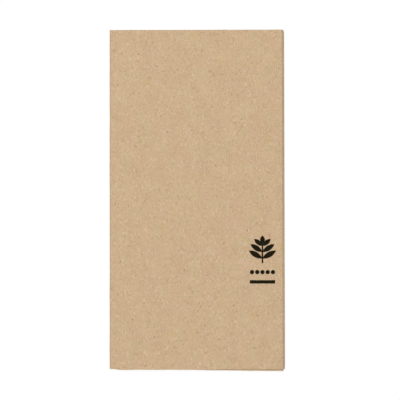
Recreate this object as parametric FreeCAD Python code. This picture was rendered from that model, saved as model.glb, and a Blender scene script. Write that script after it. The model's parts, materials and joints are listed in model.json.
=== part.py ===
import FreeCAD, Part
import math
import os

# A paper napkin: one square sheet of two-ply tissue, folded in half three times and lying flat.
# The first fold runs along the sheet and makes a strip of two layers. The strip's far end is cut,
# the strip is folded across, and then folded along once more, which makes eight layers. Seen from
# above, the last fold is the right edge, the cross fold is the top edge, the first fold is the
# left edge, and the sheet's ends lie one over the other along the bottom edge.
# Millimetres, +Z up, with the origin under the middle of the folded napkin.

# Paper
sheet_width = 390.0  # across the first fold, unfolded
sheet_length = 390.0  # along the first fold, unfolded
layer_thickness = 0.25  # two plies bonded together
layer_gap = 0.1  # air between two folded layers

# Where the folds fall, and the cut
cross_fold_offset = 0.6  # from the middle of the strip's length, towards the near end
cross_fold_skew_deg = 0.16  # out of square with the strip
last_fold_offset = 2.3  # from the middle of the strip's width, away from the first fold
last_fold_skew_deg = 0.16  # out of line with the strip
far_end_bow = 2.2  # how far the cut far end bows out over half the strip's width

# How many layers each fold turns over
first_fold_layers = 1
cross_fold_layers = 2 * first_fold_layers
last_fold_layers = 2 * cross_fold_layers

half_turn_deg = 180.0
towards_near_end_deg = -90.0
up = FreeCAD.Vector(0, 0, 1)


def stack_height(layers):
    """Height of a stack of flat layers with air between them."""
    return layers * layer_thickness + (layers - 1) * layer_gap


def paper_in_bend(layers):
    """Length of paper that goes round the bend of such a stack, on the average of its layers."""
    mean_radius = (layer_gap + stack_height(layers)) / 2
    return math.pi * mean_radius


def level_direction(angle_deg):
    """Unit vector at this angle from +X, counter-clockwise seen from above."""
    angle = math.radians(angle_deg)
    return FreeCAD.Vector(math.cos(angle), math.sin(angle), 0)


def fold(stack, layers, crease_point, crease_deg):
    """Turn the paper on the left of a crease, looking along it, over onto the rest.

    Each layer goes round the crease in a half-round bend of its own, one inside the other.
    """
    along = level_direction(crease_deg)
    reach = stack.BoundBox.DiagonalLength
    start = crease_point - along * reach - up * reach
    crease_wall = Part.makeLine(start, start + along * 2 * reach).extrude(up * 2 * reach)
    left_side = crease_wall.extrude(up.cross(along) * reach)

    axis_point = crease_point + up * (stack_height(layers) + layer_gap / 2)
    section = stack.common(crease_wall)
    bends = [face.revolve(axis_point, along, half_turn_deg) for face in section.Faces]
    turned = stack.common(left_side)
    turned.rotate(axis_point, along, half_turn_deg)
    return stack.cut(left_side).fuse([turned] + bends)


# The bends take up paper, and what is left lies flat
strip_width = (sheet_width - paper_in_bend(first_fold_layers)) / 2 - paper_in_bend(last_fold_layers)
strip_length = sheet_length - paper_in_bend(cross_fold_layers)
last_fold_x = -strip_width / 2 - last_fold_offset
cross_fold_y = strip_length / 2 - cross_fold_offset

# Flat sheet, with the first fold on X = 0 and the near end on Y = 0
sheet_corner = FreeCAD.Vector(-strip_width, 0, 0)
sheet = Part.makeBox(2 * strip_width, strip_length, layer_thickness, sheet_corner)

# First fold, along the sheet
first_fold_point = FreeCAD.Vector(0, 0, 0)
strip = fold(sheet, first_fold_layers, first_fold_point, towards_near_end_deg)

# Cut across the strip's far end, along an arc that reaches furthest where the last fold will cross
bow_radius = ((strip_width / 2) ** 2 + far_end_bow ** 2) / (2 * far_end_bow)
bow_centre = FreeCAD.Vector(last_fold_x, strip_length - bow_radius, 0)
inside_the_cut = Part.makeCylinder(bow_radius, stack_height(cross_fold_layers), bow_centre)
cut_strip = strip.common(inside_the_cut)

# Cross fold, which brings the far end back over the near end
cross_fold_point = FreeCAD.Vector(last_fold_x, cross_fold_y, 0)
half_strip = fold(cut_strip, cross_fold_layers, cross_fold_point, -cross_fold_skew_deg)

# Last fold, which brings the first fold over to the left edge
last_fold_point = FreeCAD.Vector(last_fold_x, cross_fold_y / 2, 0)
last_fold_deg = towards_near_end_deg - last_fold_skew_deg
napkin = fold(half_strip, last_fold_layers, last_fold_point, last_fold_deg)

# The left edge is turned parallel to Y, and the napkin is centred over the origin
napkin.rotate(FreeCAD.Vector(0, 0, 0), up, 2 * last_fold_skew_deg)
middle = napkin.optimalBoundingBox().Center
napkin.translate(FreeCAD.Vector(-middle.x, -middle.y, 0))

os.makedirs("parts", exist_ok=True)
napkin.exportStep("parts/napkin.step")
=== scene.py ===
import json
import math
from functools import reduce
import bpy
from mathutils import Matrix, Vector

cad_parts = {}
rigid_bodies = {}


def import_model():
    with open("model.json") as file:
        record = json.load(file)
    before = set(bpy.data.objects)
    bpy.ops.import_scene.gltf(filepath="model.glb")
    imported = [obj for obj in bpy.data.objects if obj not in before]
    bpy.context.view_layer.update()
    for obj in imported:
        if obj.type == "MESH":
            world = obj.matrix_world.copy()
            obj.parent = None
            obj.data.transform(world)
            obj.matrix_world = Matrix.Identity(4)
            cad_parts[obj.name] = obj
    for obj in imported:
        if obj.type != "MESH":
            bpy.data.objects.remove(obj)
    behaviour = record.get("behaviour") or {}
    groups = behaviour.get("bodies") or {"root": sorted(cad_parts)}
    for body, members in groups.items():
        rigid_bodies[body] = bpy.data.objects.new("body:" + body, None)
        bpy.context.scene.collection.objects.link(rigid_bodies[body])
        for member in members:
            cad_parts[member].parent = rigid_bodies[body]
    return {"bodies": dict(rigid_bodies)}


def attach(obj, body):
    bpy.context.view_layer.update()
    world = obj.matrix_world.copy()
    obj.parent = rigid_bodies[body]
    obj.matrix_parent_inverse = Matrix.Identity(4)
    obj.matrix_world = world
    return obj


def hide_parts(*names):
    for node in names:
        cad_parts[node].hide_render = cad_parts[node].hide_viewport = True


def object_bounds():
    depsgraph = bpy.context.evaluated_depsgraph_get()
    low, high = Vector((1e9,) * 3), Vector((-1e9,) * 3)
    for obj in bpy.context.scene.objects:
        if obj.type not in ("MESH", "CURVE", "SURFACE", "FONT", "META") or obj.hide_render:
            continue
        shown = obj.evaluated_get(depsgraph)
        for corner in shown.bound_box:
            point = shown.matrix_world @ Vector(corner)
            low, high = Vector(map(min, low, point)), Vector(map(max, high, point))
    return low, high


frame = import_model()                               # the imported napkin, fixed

from types import SimpleNamespace

import bpy
import numpy as np
from mathutils import Vector

cadLow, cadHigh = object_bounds()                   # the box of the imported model, before anything is added
mm = 0.001


def placeObject(name, data):
    thing = bpy.data.objects.new(name, data)
    bpy.context.scene.collection.objects.link(thing)
    return thing


# The sheet and how it is folded, in millimetres
sheetMake = {
    "width": 390.0,                             # across the first fold, unfolded
    "length": 390.0,                            # along the first fold, unfolded
    "layer": 0.25,                              # two plies, bonded
    "air": 0.05,                                # between two layers where they are pressed flat

    # the three folds, in the order in which they are made: first, cross and last
    "foldLayers": (1, 2, 4),                    # layers that each turns over
    "nose": (2.0, 1.3, 1.04),                   # shape of the bend: 2 half round, 1 a wedge
    "noseReach": (1.0, 1.0, 1.15),              # how far it is drawn out, as a share of its radius
    "bendSteps": (8, 10, 18),                   # mesh steps round it
    "crossOffset": 0.6,                         # cross fold from the middle of the length
    "crossSkew": 0.16,                          # degrees out of square
    "lastOffset": 2.2,                          # last fold from the middle of the strip
    "lastSkew": 0.16,                           # degrees out of line
    "cornerSoft": 0.5,                          # share by which the last fold draws in at its two ends
    "cornerReach": 0.9,                         # how far in from them that dies away

    # the cut edges
    "endBow": (2.2, 1.3),                       # bulge of the end that is folded inside, and its power
    "topEndOut": 0.45,                          # how far the cut end of the upper layers runs out
    "topEndFrom": (2.8, 4.9),                   # where that starts, from the first fold
    "topEndTo": (50.0, 78.0),                   # and where it ends
    "ragged": 0.06,                             # how uneven the cuts are
    "raggedWaves": (9.0, 11.0, 14.0),           # over these lengths: far end, near end and sides

    # air over each of the seven gaps between layers, from the lowest up
    "endOpening": (0.02, 0.06, 0.02, 0.12, 0.03, 0.01, 0.01),   # at the cut ends
    "endReach": 32.0,                           # how far in it dies away
    "sideOpening": (0.03, 0.04, 0.03, 0.10, 0.01, 0.05, 0.01),  # at the left edge
    "sideReach": 20.0,
    "unevenAir": 0.35,                          # share by which both vary
    "unevenWave": 60.0,                         # and over what length
    "slack": 0.09,                              # broad soft waves, away from the folds
    "slackWave": 80.0,
    "slackFrom": 18.0,                          # how far from a fold they reach their height

    # the paper's own gentle waves
    "cockle": 0.03,
    "cockleWave": 17.0,
    "cockleFrom": 6.0,                          # how far from the last fold they reach their height

    "paintedCreaseShade": (1.0, 0.3),                         # painted shade along the first and the cross fold, from 0 to 1
    # width of the painted shade lines along the folds, in millimetres
    "paintedCreaseShadeWidth": 0.36,
    "gridStep": 2.6,                            # mesh spacing on the flat panels
    "gridFine": 0.3,                            # and next to a bend
    "sharpEdge": 50.0,                          # degrees from which an edge is a sharp one
    "innerAway": 500.0,                         # how far to one side the flat map has the inner side
    "seed": 41,
}

# Where the sheet lies on its bake map, a square from 0 to 1. The top panel gets most room, the underside
# less, and what is folded inside little
bakeMap = {
    # across: left side, both sides of the last fold, of the first, and of the last again, then right side
    "outer": (0.010, 0.235, 0.260, 0.745, 0.760, 0.830, 0.835, 0.860),
    "inner": (0.870, 0.890, 0.894, 0.925, 0.930, 0.960, 0.964, 0.990),
    # along: near end, both sides of the cross fold, a little short of the far end, and the far end
    "along": (0.010, 0.905, 0.920, 0.955, 0.985),
    "farStrip": 4.0,                            # how far short, in millimetres
    # the cut edges, from the outer to the inner side
    "nearEdge": (0.988, 0.991),
    "farEdge": (0.993, 0.996),
    "leftEdge": (0.992, 0.9945),
    "rightEdge": (0.996, 0.9985),
}


def stackHeight(layers):
    # layers of paper with air between them
    return layers * sheetMake["layer"] + (layers - 1) * sheetMake["air"]


def bendPaper(layers, reach):
    # paper that goes round a bend: pi times the mean radius of its layers, more where it is drawn out
    return math.pi * (stackHeight(layers) + sheetMake["air"]) / 2 * (1 + reach) / 2


def bendAxis(layers):
    # height of the line that a bend turns about
    return stackHeight(layers) + sheetMake["air"] / 2


def bendCurve(turn, nose, reach):
    # outline of a bend of radius 1, with turn from 0 to pi:
    #   across = reach * sin(turn)^(2/nose),  rise = |cos(turn)|^(2/nose) with the sign of the cosine
    power = 2 / nose
    return reach * np.sin(turn) ** power, np.sign(np.cos(turn)) * np.abs(np.cos(turn)) ** power


def smooth(start, end, x):
    # 0 before the start, 1 after the end, and 3t^2 - 2t^3 between
    t = np.clip((x - start) / (end - start), 0, 1)
    return t * t * (3 - 2 * t)


def waves(u, v, wavelength, seed):
    # sum of 14 sines with headings and phases by chance, each 0.7 to 1.6 times the wavelength, divided
    # by the root of their number, which keeps it mostly between -1 and 1
    count, rng = 14, np.random.default_rng(seed)
    headings = rng.uniform(0, math.pi, count)
    lengths = wavelength * rng.uniform(0.7, 1.6, count)
    phases = rng.uniform(0, 2 * math.pi, count)
    total = np.zeros(np.broadcast(u, v).shape)
    for heading, length, phase in zip(headings, lengths, phases):
        total += np.sin(2 * math.pi * (u * math.cos(heading) + v * math.sin(heading)) / length + phase)
    return total / math.sqrt(count)


def creaseFrame(creaseDeg):
    # unit vectors along a crease and to the left of it
    angle = math.radians(creaseDeg)
    along = np.array([math.cos(angle), math.sin(angle)])
    return along, np.array([-along[1], along[0]])


def foldOver(points, crease, creaseDeg, layers, nose, reach):
    # What lies past the crease goes round a half turn and comes back on top:
    #   in the bend    past = radius * across,  height = axis - radius * rise
    #   after it       past = bend - past,      height = axis + radius
    # where radius = axis - height, and turn grows from 0 to pi over the paper in the bend
    along, left = creaseFrame(creaseDeg)
    offset = points[..., :2] - crease
    kept, past = offset @ along, offset @ left
    axis, bend = bendAxis(layers), bendPaper(layers, reach)
    radius = axis - points[..., 2]
    across, rise = bendCurve(np.clip(past / bend, 0, 1) * math.pi, nose, reach)
    past = np.where(past < 0, past, np.where(past > bend, bend - past, radius * across))
    flat = crease + kept[..., None] * along + past[..., None] * left
    return np.concatenate([flat, (axis - radius * rise)[..., None]], axis=-1)


def outsideWay(past, layers, nose, reach):
    # how far it is from the crease over the outer face, which takes the long way round the bend, measured
    # along 90 short straight lines
    bend, turn = bendPaper(layers, reach), np.linspace(0, math.pi, 91)
    across, rise = bendCurve(turn, nose, reach)
    steps = bendAxis(layers) * np.hypot(np.diff(across), np.diff(rise))
    inBend = np.interp(past, turn / math.pi * bend, np.concatenate([[0], np.cumsum(steps)]))
    return inBend + np.minimum(past, 0) + np.maximum(past - bend, 0)


def sheetPlan():
    # where the folds and ends fall on the flat sheet: x runs across it, with the first fold at 0, and y
    # along it, with the near end at 0
    make = sheetMake
    bends = [bendPaper(layers, reach) for layers, reach in zip(make["foldLayers"], make["noseReach"])]
    strip = (make["width"] - bends[0]) / 2                      # width of the strip the first fold leaves
    panels = strip - bends[2]                                   # what lies flat across it
    upper = panels / 2 + make["lastOffset"]                     # flat from the last fold to the first
    lastX = -(upper + bends[2])
    flatLength = make["length"] - bends[1]
    near = flatLength / 2 - make["crossOffset"]                 # flat from the near end to the cross fold
    farStart = near + bends[1]
    return SimpleNamespace(bends=bends, strip=strip, panels=panels, upper=upper,
                           lastX=lastX, lastEnd=lastX + bends[2],
                           near=near, farStart=farStart,
                           farEnd=farStart + (flatLength / 2 + make["crossOffset"]))


def panelLines(start, end):
    # grid lines over a flat panel, even but for its two ends next to the bends, where the first steps are
    # one, two and three times the fine spacing
    fine = sheetMake["gridFine"] * np.array([0.0, 1.0, 3.0, 6.0])
    steps = max(2, round((end - start) / sheetMake["gridStep"]))
    middle = np.linspace(start + fine[-1], end - fine[-1], steps)
    return np.concatenate([start + fine[:-1], middle, end - fine[-2::-1]])


def joinLines(*runs):
    # runs of grid lines end to end, each shared line once
    return np.concatenate([runs[0]] + [run[1:] for run in runs[1:]])


def flatGrid(plan):
    # grid on the flat sheet, with rows that run along y
    firstSteps, crossSteps, lastSteps = sheetMake["bendSteps"]
    half = joinLines(panelLines(-plan.strip, plan.lastX),
                     np.linspace(plan.lastX, plan.lastEnd, lastSteps + 1),
                     panelLines(plan.lastEnd, 0))
    across = joinLines(half, np.linspace(0, plan.bends[0], firstSteps + 1), plan.bends[0] - half[::-1])
    along = joinLines(panelLines(0, plan.near),
                      np.linspace(plan.near, plan.farStart, crossSteps + 1),
                      panelLines(plan.farStart, plan.farEnd))
    return np.meshgrid(across, along)


def cutSheet(plan, gridX, gridY, stripX):
    # the grid lines lean with the creases, and the edges get their bow and an uneven cut
    make, seed = sheetMake, sheetMake["seed"]
    farWaves, nearWaves, sideWaves = make["raggedWaves"]
    side = np.where(gridX > plan.bends[0] / 2, -1.0, 1.0)
    lean = np.interp(stripX, [-plan.strip, plan.lastX, plan.lastEnd, 0], [0, 1, 1, 0])
    x = gridX + side * lean * math.tan(math.radians(make["lastSkew"])) * (gridY - plan.near / 2)

    atCross = np.interp(gridY, [0, plan.near, plan.farStart, plan.farEnd], [0, 1, 1, 0])
    atFar = np.interp(gridY, [plan.farStart, plan.farEnd], [0, 1])
    atNear = np.interp(gridY, [0, plan.near], [1, 0])
    bulge, power = make["endBow"]
    fromFirst = -stripX
    topEnd = (make["topEndOut"] * smooth(*make["topEndFrom"], fromFirst)
              * (1 - smooth(*make["topEndTo"], fromFirst)))
    y = gridY - atCross * math.tan(math.radians(make["crossSkew"])) * (stripX - plan.lastX)
    y -= atFar * bulge * (np.abs(stripX - plan.lastX) / (plan.panels / 2)) ** power
    y -= atNear * topEnd
    y += make["ragged"] * (atFar * waves(stripX, 0 * stripX, farWaves, seed)
                           + atNear * waves(stripX, 0 * stripX, nearWaves, seed + 1))
    atSides = np.interp(stripX, [-plan.strip, plan.lastX], [1, 0])
    x += make["ragged"] * atSides * waves(y, side, sideWaves, seed + 2)

    cockle = make["cockle"] * waves(x, y, make["cockleWave"], seed + 3)
    clear = make["cockleFrom"]
    cockle *= 1 - np.interp(stripX, [plan.lastX - clear, plan.lastX, plan.lastEnd, plan.lastEnd + clear],
                            [0, 1, 1, 0])
    return x, y, cockle


def drawInCorners(points, pivot, left):
    # the last fold draws in at its two ends, which rounds the corners. Past the crease:
    #   distance = distance * (1 - share * exp(-distance from the end / reach))
    make = sheetMake
    beyond = np.clip((points[..., :2] - pivot) @ left, 0, None)
    topY, bottomY = points[..., 1].max(), points[..., 1].min()
    ends = (np.exp(-(topY - points[..., 1]) / make["cornerReach"])
            + np.exp(-(points[..., 1] - bottomY) / make["cornerReach"]))
    points[..., :2] -= (beyond * make["cornerSoft"] * ends)[..., None] * left


def letAirIn(points, plan):
    # The layers part a little at the cut ends, at the left and in soft waves between, and each gap lifts
    # all that lies above it:
    #   air = end * exp(-y / reach) + side * exp(-x / reach) + slack * waves, where those are above 0
    make, seed = sheetMake, sheetMake["seed"]
    x, y, height = points[..., 0].copy(), points[..., 1].copy(), points[..., 2].copy()
    fromLeft, fromRight = x - (plan.lastX - plan.upper), plan.lastX - x
    atEnd = np.exp(-np.clip(y, 0, None) / make["endReach"])
    atSide = np.exp(-np.clip(fromLeft, 0, None) / make["sideReach"])
    fromFolds = (smooth(0, make["slackFrom"], fromLeft) * smooth(0, make["slackFrom"], fromRight)
                 * smooth(0, make["slackFrom"], plan.near - y))
    for gap, (endAir, sideAir) in enumerate(zip(make["endOpening"], make["sideOpening"])):
        gapLow = gap * (make["layer"] + make["air"]) + make["layer"]
        uneven = 1 + make["unevenAir"] * waves(x, y, make["unevenWave"], seed + 10 + gap)
        soft = np.clip(waves(x, y, make["slackWave"], seed + 20 + gap), 0, None)
        air = np.clip((endAir * atEnd + sideAir * atSide) * uneven, 0, None)
        air += make["slack"] * soft * fromFolds
        points[..., 2] += air * smooth(gapLow, gapLow + make["air"], height)


def patchFaces(ids, *maps):
    # quads over a grid of point numbers, with the corners of each map in the same order
    def corners(grid):
        return np.stack([grid[:-1, :-1], grid[1:, :-1], grid[1:, 1:], grid[:-1, 1:]], axis=2)
    return corners(ids).reshape(-1, 4), [corners(each).reshape(-1, 4, 2) for each in maps]


def sheetFaces(plan, gridX, gridY, spread):
    # faces with their flat map and bake map: the outer side, the inner side, and the cut edges between
    across = [-plan.strip, plan.lastX, plan.lastEnd, 0]
    across += [plan.bends[0] - x for x in across[::-1]]
    along = [0, plan.near, plan.farStart, plan.farEnd - bakeMap["farStrip"], plan.farEnd]
    bakeV = np.interp(gridY, along, bakeMap["along"])
    outerMap, innerMap = [np.stack([np.interp(gridX, across, bakeMap[name]), bakeV], axis=-1)
                          for name in ("outer", "inner")]
    outer, inner = np.arange(2 * gridX.size).reshape(2, *gridX.shape)

    def flipped(patch):
        return tuple(grid[:, ::-1] for grid in patch)

    def cutEdge(pick, outwards, name, axis):
        # a strip two points wide along one edge of the sheet, one layer thick on the flat map
        ids = np.stack([outer[pick], inner[pick]])
        flat = np.stack([spread[pick], spread[pick] + np.array(outwards) * sheetMake["layer"]])
        bake = np.stack([outerMap[pick], outerMap[pick]])
        bake[0, :, axis], bake[1, :, axis] = bakeMap[name]
        return ids, flat, bake

    patches = [(outer, spread, outerMap),
               flipped((inner, spread + np.array([sheetMake["innerAway"], 0.0]), innerMap)),
               flipped(cutEdge(np.s_[0, :], (0, -1), "nearEdge", 1)),
               cutEdge(np.s_[-1, :], (0, 1), "farEdge", 1),
               cutEdge(np.s_[:, 0], (-1, 0), "leftEdge", 0),
               flipped(cutEdge(np.s_[:, -1], (1, 0), "rightEdge", 0))]
    quads, maps = zip(*[patchFaces(*patch) for patch in patches])
    flatCorners, bakeCorners = [np.concatenate(corners) for corners in zip(*maps)]
    return np.concatenate(quads), flatCorners * mm, bakeCorners


def foldedSheet():
    # one closed surface, from the flat sheet through its three folds
    make, plan = sheetMake, sheetPlan()
    gridX, gridY = flatGrid(plan)
    stripX = np.minimum(gridX, plan.bends[0] - gridX)           # place across the strip, alike in both layers
    x, y, cockle = cutSheet(plan, gridX, gridY, stripX)

    # Outer side of the sheet at height 0 and inner side one layer up, then the folds
    points = np.stack([np.stack([x, y, cockle + height], axis=-1) for height in (0.0, make["layer"])])
    lastPivot, lastDeg = np.array([plan.lastX, plan.near / 2]), -90 - make["lastSkew"]
    creases = [(np.array([0.0, 0.0]), -90.0),
               (np.array([plan.lastX, plan.near]), -make["crossSkew"]),
               (lastPivot, lastDeg)]
    shapes = list(zip(make["foldLayers"], make["nose"], make["noseReach"]))
    for crease, shape in zip(creases, shapes):
        points = foldOver(points, *crease, *shape)
    alongLast, leftLast = creaseFrame(lastDeg)
    drawInCorners(points, lastPivot, leftLast)
    letAirIn(points, plan)

    # The flat map: the sheet spread out round its top panel, which keeps its place. The pattern is laid out
    # over the outer face, so it isn't stretched on the bends
    _, crossShape, lastShape = shapes
    offset = np.stack([x, y], axis=-1) - lastPivot
    fromCross = outsideWay(-(offset @ alongLast) - plan.near / 2, *crossShape) + plan.near / 2
    fromLast = outsideWay(offset @ leftLast, *lastShape) - outsideWay(plan.bends[2], *lastShape)
    spread = lastPivot - fromCross[..., None] * alongLast - fromLast[..., None] * leftLast

    # Left edge parallel to y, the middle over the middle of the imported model, the lowest point on the table
    turnBack = math.radians(2 * make["lastSkew"])
    spin = np.array([[math.cos(turnBack), math.sin(turnBack)], [-math.sin(turnBack), math.cos(turnBack)]])
    points[..., :2] = points[..., :2] @ spin
    lowest, highest = points.min((0, 1, 2)), points.max((0, 1, 2))
    cadMiddle = (np.array(cadLow) + np.array(cadHigh)) / 2 / mm
    shift = (cadMiddle - (lowest + highest) / 2)[:2]
    points[..., :2] += shift
    points[..., 2] += cadLow[2] / mm - lowest[2]
    faces, flatCorners, bakeCorners = sheetFaces(plan, gridX, gridY, spread @ spin + shift)

    mesh = bpy.data.meshes.new("foldedSheet")
    mesh.from_pydata((points.reshape(-1, 3) * mm).tolist(), [], faces.tolist())
    mesh.polygons.foreach_set("use_smooth", np.ones(len(faces), bool))
    mesh.set_sharp_from_angle(angle=math.radians(make["sharpEdge"]))
    for name, corners in (("sheetFlat", flatCorners), ("OFBake", bakeCorners)):
        mesh.uv_layers.new(name=name).data.foreach_set("uv", corners.astype(np.float32).ravel())

    # Painted shade along two folds, thin darker lines where the creases are: strength * exp(-(distance from
    # the fold / width)^2), the stronger of them
    distances = (stripX - plan.bends[0] / 2, gridY - plan.near - plan.bends[1] / 2)
    creaseShade = np.maximum(*[strength * np.exp(-(distance / make["paintedCreaseShadeWidth"]) ** 2)
                        for strength, distance in zip(make["paintedCreaseShade"], distances)])
    paintedCreaseShade = mesh.attributes.new("paintedFoldShade", "FLOAT", "POINT")
    paintedCreaseShade.data.foreach_set("value", np.tile(creaseShade.ravel(), 2).astype(np.float32))

    piece = placeObject("folded_napkin_sheet", mesh)
    print("folded sheet:", len(mesh.vertices), "points,", len(faces) * 2, "triangles")
    return piece


napkinPiece = foldedSheet()


# Materials
def hexColour(code):
    # sRGB hex to the linear values that Blender works in
    parts = [int(code[i:i + 2], 16) / 255 for i in (1, 3, 5)]
    return (*[p / 12.92 if p <= 0.04045 else ((p + 0.055) / 1.055) ** 2.4 for p in parts], 1.0)


def grey(level):
    return (level, level, level, 1.0)


def newTree(owner):
    # the empty node tree of a material or of the world
    owner.use_nodes = True
    owner.node_tree.nodes.clear()
    return owner.node_tree


def addNode(tree, kind, sockets=None, **settings):
    # one node: settings are its own options, sockets are values or links by input name or number
    node = tree.nodes.new(kind)
    for name, value in settings.items():
        setattr(node, name, value)
    for name, value in (sockets or {}).items():
        if isinstance(value, bpy.types.NodeSocket):
            tree.links.new(value, node.inputs[name])
        else:
            node.inputs[name].default_value = value
    return node


# Unbleached recycled tissue
paperLook = {
    "dark": "#BEA07F",                          # thin places and shaded hollows between fibres
    "light": "#E0C4A2",                         # raised fibres
    "pinkTint": "#FFFCFB",                      # broad faint patches of this and the next
    "oliveTint": "#FDFFF9",
    "strawTint": "#FFFDF2",                     # a few yellower spots
    "speck": "#6B503B",                         # bits of old print and bark
    "speckShare": 0.8,
    "darkFibre": "#9C7C5C",
    "darkFibreShare": 0.33,
    "paleFibre": "#EAD8BF",
    "paleFibreShare": 0.3,
    "roughness": 0.95,
    "ior": 1.5,                                 # cellulose
    "specular": 0.12,                           # low, because light gets lost between the fibres
    "sheen": 0.04,                              # loose fibre ends
    "sheenRoughness": 0.5,
    "reliefHeight": 0.08,                       # of the fibres, in millimetres
    "reliefStrength": 0.4,
}

# Its pattern, in millimetres. A size is (across, along, detail, degrees turned). A patchy one goes on with
# the levels of noise between which it grows from nothing to full
paperGrain = {
    # Streaks 0.36 mm wide, about twice a real bundle of fibres, so that they show in the picture. They lean
    # one way or the other, curl a little, and come and go in patches
    "streaks": ((0.36, 2.1, 2.5, 12.0), (0.36, 2.1, 2.5, -13.0)),
    "leaning": ((4.0, 6.0, 1.0, 60.0), 0.44, 0.56),
    "curl": (8.0, 8.0, 1.0, 25.0),
    "curlBy": (2.0, 1.0, 0.0),
    "patches": ((3.6, 5.0, 1.0, 40.0), 0.36, 0.66),
    "patchStrength": (0.05, 2.35),              # between the patches, and how much more in them
    "pores": (0.26, 0.42, 1.0, 0.0),
    "poreShare": 0.4,                           # as against the streaks
    "clouds": (8.0, 11.0, 2.0, 0.0),
    "cloudStrength": 0.32,
    # how much the painted shade along the folds darkens the paper
    "creaseShadeStrength": 0.8,
    "tints": ((10.0, 13.0, 1.0, 30.0), 0.3, 0.7),
    "straw": ((6.0, 7.5, 1.0, 10.0), 0.66, 0.82),

    # Curled fibres are thin contour lines of a wide noise, cut into short lengths by a second one
    "fibre": (2.6, 4.6, 1.0),
    "fibreWidth": 0.024,                        # half the width of a line, in levels of the noise
    "fibreTop": 0.3,                            # share of it at full strength
    "fibreCut": (2.0, 2.6, 0.0),
    "fibreCutTurn": 50.0,                       # degrees between the two noises
    "fibreCutSoft": 0.08,                       # how softly a fibre ends, in levels of the noise
    # each set: degrees turned, level of the contour, and level of the second noise below which it is cut
    "paleFibres": ((12.0, 0.5, 0.5), (-35.0, 0.47, 0.5), (-5.0, 0.55, 0.52)),
    "darkFibres": ((65.0, 0.52, 0.54), (-15.0, 0.53, 0.54)),

    # Specks are the middles of random cells, pulled out of round by a fine noise. Their reach into the cell
    # differs by chance, and where it is below 0 there is none
    "speckCell": (5.0, 7.5, 12.0),              # across, along and degrees turned
    "speckPull": (0.6, 0.6, 1.0, 0.0),
    "speckPullBy": (0.16, 0.12, 0.0),           # as a share of the cell, like those that follow
    "speckReach": (-0.07, 0.13),                # the least, and how much more at the most
    "speckSoft": 0.025,

    "relief": (0.7, 0.5, 0.25),                 # heights of streaks, pores and pale fibres
}

# Printed mark near the lower right corner, in millimetres from its own middle
markLook = {
    "ink": "#161203",
    "middle": (37.3, -28.2),                    # on the folded napkin
    # each pair of leaves: base on the stem, length, width, degrees from upright
    "leaves": ((-5.1, 9.0, 3.1, 60), (-1.4, 8.2, 2.95, 57), (2.1, 6.2, 2.6, 50), (3.1, 4.9, 2.8, 0)),
    "stem": (-7.8, 3.6, 0.45),                  # foot, head and half width
    "dots": (-12.9, 3.0, 1.25, 2.5),            # height, spacing, radius, and how many to each side
    "rule": (-18.5, 7.25, 1.0),                 # height, half length, half width
    "bleed": 0.14,                              # how soft the ink's edge is
    "ragged": 0.12,                             # and how far it strays
    "raggedSize": (0.5, 0.7, 1.0, 0.0),
    "cover": 1.035,                             # how fully the ink covers the paper, up to 1
    "thinner": 0.08,                            # less this where the noise is highest
    "thinnerSize": (0.45, 0.9, 1.0, 0.0),
}


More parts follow.
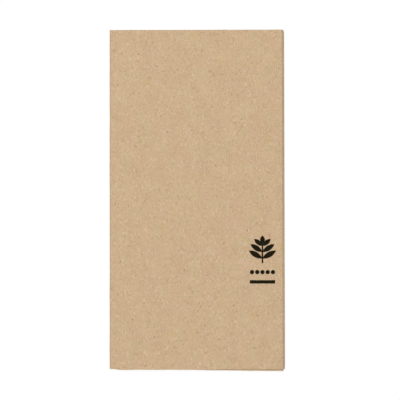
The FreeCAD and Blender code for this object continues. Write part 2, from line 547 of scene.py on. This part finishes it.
def tissueMaterial():
    # Two plies of unbleached recycled tissue, wet laid and lightly creped: matt, warm grey-brown, with fine
    # streaks along the sheet, faint cloudy patches, pale fibres, a few dark specks, and soft print soaked in
    look, grain, mark = paperLook, paperGrain, markLook
    material = bpy.data.materials.new("unbleachedTissue")
    tree = newTree(material)

    def maths(operation, a, b=0.0, c=0.0, clamp=False):
        return addNode(tree, "ShaderNodeMath", {0: a, 1: b, 2: c},
                       operation=operation, use_clamp=clamp).outputs[0]

    def combine(operation, values):
        # many values into one, such as the lowest of them
        return reduce(lambda a, b: maths(operation, a, b), values)

    def vectors(operation, sockets, output=0):
        return addNode(tree, "ShaderNodeVectorMath", sockets, operation=operation).outputs[output]

    def mapped(base, location=(0, 0, 0), degrees=0.0, size=(1, 1)):
        # coordinates in a frame that lies at this place, turned and sized
        turned = (0, 0, math.radians(degrees))
        sockets = {"Vector": base, "Location": location, "Rotation": turned, "Scale": (*size, 1)}
        return addNode(tree, "ShaderNodeMapping", sockets, vector_type="TEXTURE").outputs[0]

    def split(vector):
        return addNode(tree, "ShaderNodeSeparateXYZ", {0: vector}).outputs[:2]

    def pair(a, b):
        return addNode(tree, "ShaderNodeCombineXYZ", {0: a, 1: b}).outputs[0]

    flatMap = addNode(tree, "ShaderNodeUVMap", uv_map="sheetFlat").outputs["UV"]
    place = vectors("SCALE", {0: flatMap, "Scale": 1 / mm})      # on the sheet, in millimetres

    def noise(size, output="Fac", base=place):
        across, along, detail, degrees = size
        cells = mapped(base, degrees=degrees, size=(across, along))
        return addNode(tree, "ShaderNodeTexNoise", {"Vector": cells, "Scale": 1.0, "Detail": detail},
                       noise_dimensions="2D").outputs[output]

    def moved(base, size, by):
        # points moved about by a noise, so that what is drawn on them curls
        return vectors("MULTIPLY_ADD", {0: noise(size, "Color"), 1: by, 2: base})

    def ramp(value, start, end):
        sockets = {"Value": value, "From Min": start, "From Max": end}
        return addNode(tree, "ShaderNodeMapRange", sockets, interpolation_type="SMOOTHSTEP").outputs[0]

    def patchy(size, start, end):
        return ramp(noise(size), start, end)

    def blend(factor, a, b, mode="MIX"):
        a, b = [hexColour(each) if isinstance(each, str) else each for each in (a, b)]
        return addNode(tree, "ShaderNodeMix", {"Factor": factor, 6: a, 7: b},
                       data_type="RGBA", blend_type=mode).outputs[2]

    # From 0 dark to 1 light: 0.5 + (streaks - 0.5 + share * (pores - 0.5)) * strength
    #                             + cloud strength * (clouds - 0.5) - painted shade strength * painted crease
    #                               shade
    curled = moved(place, grain["curl"], grain["curlBy"])
    leaning = patchy(*grain["leaning"])
    leftStreaks, rightStreaks = [noise(size, "Fac", curled) for size in grain["streaks"]]
    streaks = maths("ADD", maths("MULTIPLY", leftStreaks, leaning),
                    maths("MULTIPLY", rightStreaks, maths("SUBTRACT", 1.0, leaning)))
    pores = noise(grain["pores"])
    poreShare, cloudStrength = grain["poreShare"], grain["cloudStrength"]
    texture = maths("MULTIPLY_ADD", pores, poreShare, maths("SUBTRACT", streaks, 0.5 + poreShare / 2))
    between, more = grain["patchStrength"]
    strength = maths("MULTIPLY_ADD", patchy(*grain["patches"]), more, between)
    tone = maths("MULTIPLY_ADD", texture, strength, 0.5)
    clouds = maths("MULTIPLY_ADD", noise(grain["clouds"]), cloudStrength, -cloudStrength / 2)
    tone = maths("ADD", tone, clouds)
    # painted shade along the first and the cross fold, darkening the paper's colour at the creases
    creaseShade = addNode(tree, "ShaderNodeAttribute", attribute_name="paintedFoldShade").outputs["Fac"]
    tone = maths("MULTIPLY_ADD", creaseShade, -grain["creaseShadeStrength"], tone, clamp=True)

    colour = blend(tone, look["dark"], look["light"])
    tint = blend(patchy(*grain["tints"]), look["pinkTint"], look["oliveTint"])
    colour = blend(1.0, colour, tint, "MULTIPLY")
    colour = blend(patchy(*grain["straw"]), colour, look["strawTint"], "MULTIPLY")

    def fibreLines(degrees, level, cutBelow):
        contour = maths("ABSOLUTE", maths("SUBTRACT", noise((*grain["fibre"], degrees)), level))
        line = ramp(contour, grain["fibreWidth"], grain["fibreWidth"] * grain["fibreTop"])
        cutSize = (*grain["fibreCut"], degrees + grain["fibreCutTurn"])
        return maths("MULTIPLY", line, patchy(cutSize, cutBelow, cutBelow + grain["fibreCutSoft"]))

    paleFibres, darkFibres = [combine("MAXIMUM", [fibreLines(*kind) for kind in grain[name]])
                              for name in ("paleFibres", "darkFibres")]
    colour = blend(maths("MULTIPLY", paleFibres, look["paleFibreShare"]), colour, look["paleFibre"])
    colour = blend(maths("MULTIPLY", darkFibres, look["darkFibreShare"]), colour, look["darkFibre"])

    across, along, degrees = grain["speckCell"]
    speckCells = mapped(place, degrees=degrees, size=(across, along))
    speckCells = moved(speckCells, grain["speckPull"], grain["speckPullBy"])
    cell = addNode(tree, "ShaderNodeTexVoronoi", {"Vector": speckCells, "Scale": 1.0, "Randomness": 1.0},
                   voronoi_dimensions="2D").outputs
    chance = addNode(tree, "ShaderNodeSeparateColor", {"Color": cell["Color"]}).outputs["Red"]
    least, more = grain["speckReach"]
    within = maths("SUBTRACT", maths("MULTIPLY_ADD", chance, more, least), cell["Distance"])
    specks = ramp(within, 0.0, grain["speckSoft"])
    colour = blend(maths("MULTIPLY", specks, look["speckShare"]), colour, look["speck"])

    # The mark: the nearest edge of all its shapes, in millimetres and below 0 inside, made soft and ragged
    x, y = split(mapped(place, location=(*mark["middle"], 0)))
    mirroredX = maths("ABSOLUTE", x)
    mirrored = pair(mirroredX, y)

    def length(a, b):
        return vectors("LENGTH", {0: pair(a, b)}, "Value")

    def leafEdge(base, leafLength, width, lean):
        # two arcs that meet in points: length(along, |across| + radius - width / 2) - radius
        radius = (leafLength ** 2 + width ** 2) / (4 * width)
        turn = math.radians(lean)
        centre = (leafLength / 2 * math.sin(turn), base + leafLength / 2 * math.cos(turn), 0)
        leafAlong, leafAcross = split(mapped(mirrored, centre, 90 - lean))
        inset = maths("ADD", maths("ABSOLUTE", leafAcross), radius - width / 2)
        return maths("SUBTRACT", length(leafAlong, inset), radius)

    def barEdge(middle, halfTall, halfWide):
        # the further outside of its two pairs of sides
        fromMiddle = maths("ABSOLUTE", maths("SUBTRACT", y, middle))
        return maths("MAXIMUM", maths("SUBTRACT", fromMiddle, halfTall),
                     maths("SUBTRACT", mirroredX, halfWide))

    foot, head, stemHalf = mark["stem"]
    ruleY, ruleHalfLong, ruleHalfTall = mark["rule"]
    dotY, dotStep, dotRadius, dotCount = mark["dots"]
    fromDot = length(maths("WRAP", x, dotStep / 2, -dotStep / 2), maths("SUBTRACT", y, dotY))
    dots = maths("MAXIMUM", maths("SUBTRACT", fromDot, dotRadius),
                 maths("SUBTRACT", mirroredX, dotStep * dotCount))
    stem = barEdge((foot + head) / 2, (head - foot) / 2, stemHalf)
    rule = barEdge(ruleY, ruleHalfTall, ruleHalfLong)
    nearest = combine("MINIMUM", [stem, dots, rule] + [leafEdge(*leaf) for leaf in mark["leaves"]])
    stray = maths("MULTIPLY_ADD", noise(mark["raggedSize"]), 2 * mark["ragged"], -mark["ragged"])
    inked = ramp(maths("ADD", nearest, stray), mark["bleed"], -mark["bleed"])
    cover = maths("MULTIPLY_ADD", noise(mark["thinnerSize"]), -mark["thinner"], mark["cover"], clamp=True)
    colour = blend(maths("MULTIPLY", inked, cover), colour, mark["ink"])

    streakHeight, poreHeight, fibreHeight = grain["relief"]
    relief = maths("MULTIPLY_ADD", paleFibres, fibreHeight, maths("MULTIPLY", pores, poreHeight))
    relief = maths("MULTIPLY_ADD", streaks, streakHeight, relief)
    bump = addNode(tree, "ShaderNodeBump", {"Height": relief, "Strength": look["reliefStrength"],
                                            "Distance": look["reliefHeight"] * mm})
    surface = addNode(tree, "ShaderNodeBsdfPrincipled",
                      {"Base Color": colour, "Roughness": look["roughness"], "IOR": look["ior"],
                       "Specular IOR Level": look["specular"], "Sheen Weight": look["sheen"],
                       "Sheen Roughness": look["sheenRoughness"], "Normal": bump.outputs["Normal"]})
    addNode(tree, "ShaderNodeOutputMaterial", {"Surface": surface.outputs["BSDF"]})
    return material


napkinPiece.data.materials.append(tissueMaterial())
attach(napkinPiece, sorted(frame["bodies"])[0])
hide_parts("napkin")
print("paper: done")


# Studio: a white table, one broad lamp above the upper left corner, an even sky, and a camera overhead
studioMake = {
    "pixel": 0.5727,                            # millimetres of the napkin's top face in one pixel
    "pictureSize": 400,
    "napkinMiddle": (197.33, 200.32),           # where the middle of the napkin falls in the picture
    "lens": 190.0,
    "sensor": 36.0,
    "lampPlace": (-1.1, 1.0, 2.6),
    "lampSize": 1.8,
    "lampShare": 0.5,                           # of the light on a level surface; the sky gives the rest
    "tableReach": 3.0,
    "tableDrop": 0.02,                          # millimetres below the napkin, so that they don't touch
    "tableWhite": 1.02,                         # how bright it looks without a shadow; 1 is full white
    "tableShade": 0.11,                         # share of that which the napkin's shadow can take
    "tableBounce": 0.6,                         # light that it throws back at the napkin
}


def overheadCamera():
    # straight above, at the height that gives a pixel on the napkin its size, and to one side by as much as
    # the napkin is out of the middle of the picture
    make = studioMake
    data = bpy.data.cameras.new("overhead")
    data.lens, data.sensor_width = make["lens"], make["sensor"]
    camera = placeObject("overhead", data)
    half, pixel = make["pictureSize"] / 2, make["pixel"] * mm
    camera.location = ((cadLow[0] + cadHigh[0]) / 2 + (half - make["napkinMiddle"][0]) * pixel,
                       (cadLow[1] + cadHigh[1]) / 2 + (make["napkinMiddle"][1] - half) * pixel,
                       cadHigh[2] + pixel * make["pictureSize"] * make["lens"] / make["sensor"])
    bpy.context.scene.camera = camera


def whiteTable():
    # seen straight on it glows up to white with only a little shading; otherwise it is plain matt paint
    make = studioMake
    reach, level = make["tableReach"], -make["tableDrop"] * mm
    mesh = bpy.data.meshes.new("table")
    mesh.from_pydata([(x * reach, y * reach, level) for x, y in ((-1, -1), (1, -1), (1, 1), (-1, 1))],
                     [], [(0, 1, 2, 3)])
    table = placeObject("table", mesh)
    paint = bpy.data.materials.new("whitePaint")
    tree = newTree(paint)
    path = addNode(tree, "ShaderNodeLightPath").outputs
    seen = path["Is Camera Ray"]
    for other in ("Is Glossy Ray", "Is Transmission Ray"):
        seen = addNode(tree, "ShaderNodeMath", {0: seen, 1: path[other]}, operation="MAXIMUM").outputs[0]
    bounce, shade = grey(make["tableBounce"]), grey(make["tableShade"])
    colour = addNode(tree, "ShaderNodeMix", {"Factor": seen, 6: bounce, 7: shade},
                     data_type="RGBA").outputs[2]
    glow = addNode(tree, "ShaderNodeMath", {0: seen, 1: make["tableWhite"] - make["tableShade"]},
                   operation="MULTIPLY").outputs[0]
    matt = addNode(tree, "ShaderNodeBsdfDiffuse", {"Color": colour})
    emission = addNode(tree, "ShaderNodeEmission", {"Color": grey(1.0), "Strength": glow})
    both = addNode(tree, "ShaderNodeAddShader", {0: matt.outputs[0], 1: emission.outputs[0]})
    addNode(tree, "ShaderNodeOutputMaterial", {"Surface": both.outputs[0]})
    mesh.materials.append(paint)


def evenSky():
    # full white to the camera, and only its share of the light to everything else
    sky = bpy.data.worlds.new("sky")
    bpy.context.scene.world = sky
    tree = newTree(sky)
    path = addNode(tree, "ShaderNodeLightPath").outputs
    light, white = [addNode(tree, "ShaderNodeBackground", {"Color": grey(1.0), "Strength": strength})
                    for strength in (1 - studioMake["lampShare"], 1.0)]
    mix = addNode(tree, "ShaderNodeMixShader",
                  {0: path["Is Camera Ray"], 1: light.outputs[0], 2: white.outputs[0]})
    addNode(tree, "ShaderNodeOutputWorld", {"Surface": mix.outputs[0]})


def softLamp():
    # a lamp of this many watts gives a level surface its share of full light:
    #   power = share * pi^2 * distance^2 / cosine of its slant
    make = studioMake
    place = Vector(make["lampPlace"])
    data = bpy.data.lights.new("softbox", "AREA")
    data.shape, data.size = "DISK", make["lampSize"]
    data.energy = make["lampShare"] * math.pi ** 2 * place.length ** 3 / place.z
    lamp = placeObject("softbox", data)
    lamp.location = place
    lamp.rotation_mode = "QUATERNION"
    lamp.rotation_quaternion = (-place).to_track_quat("-Z", "Y")


overheadCamera()
whiteTable()
evenSky()
softLamp()
bpy.context.scene.view_settings.view_transform = "Standard"
print("studio: done")
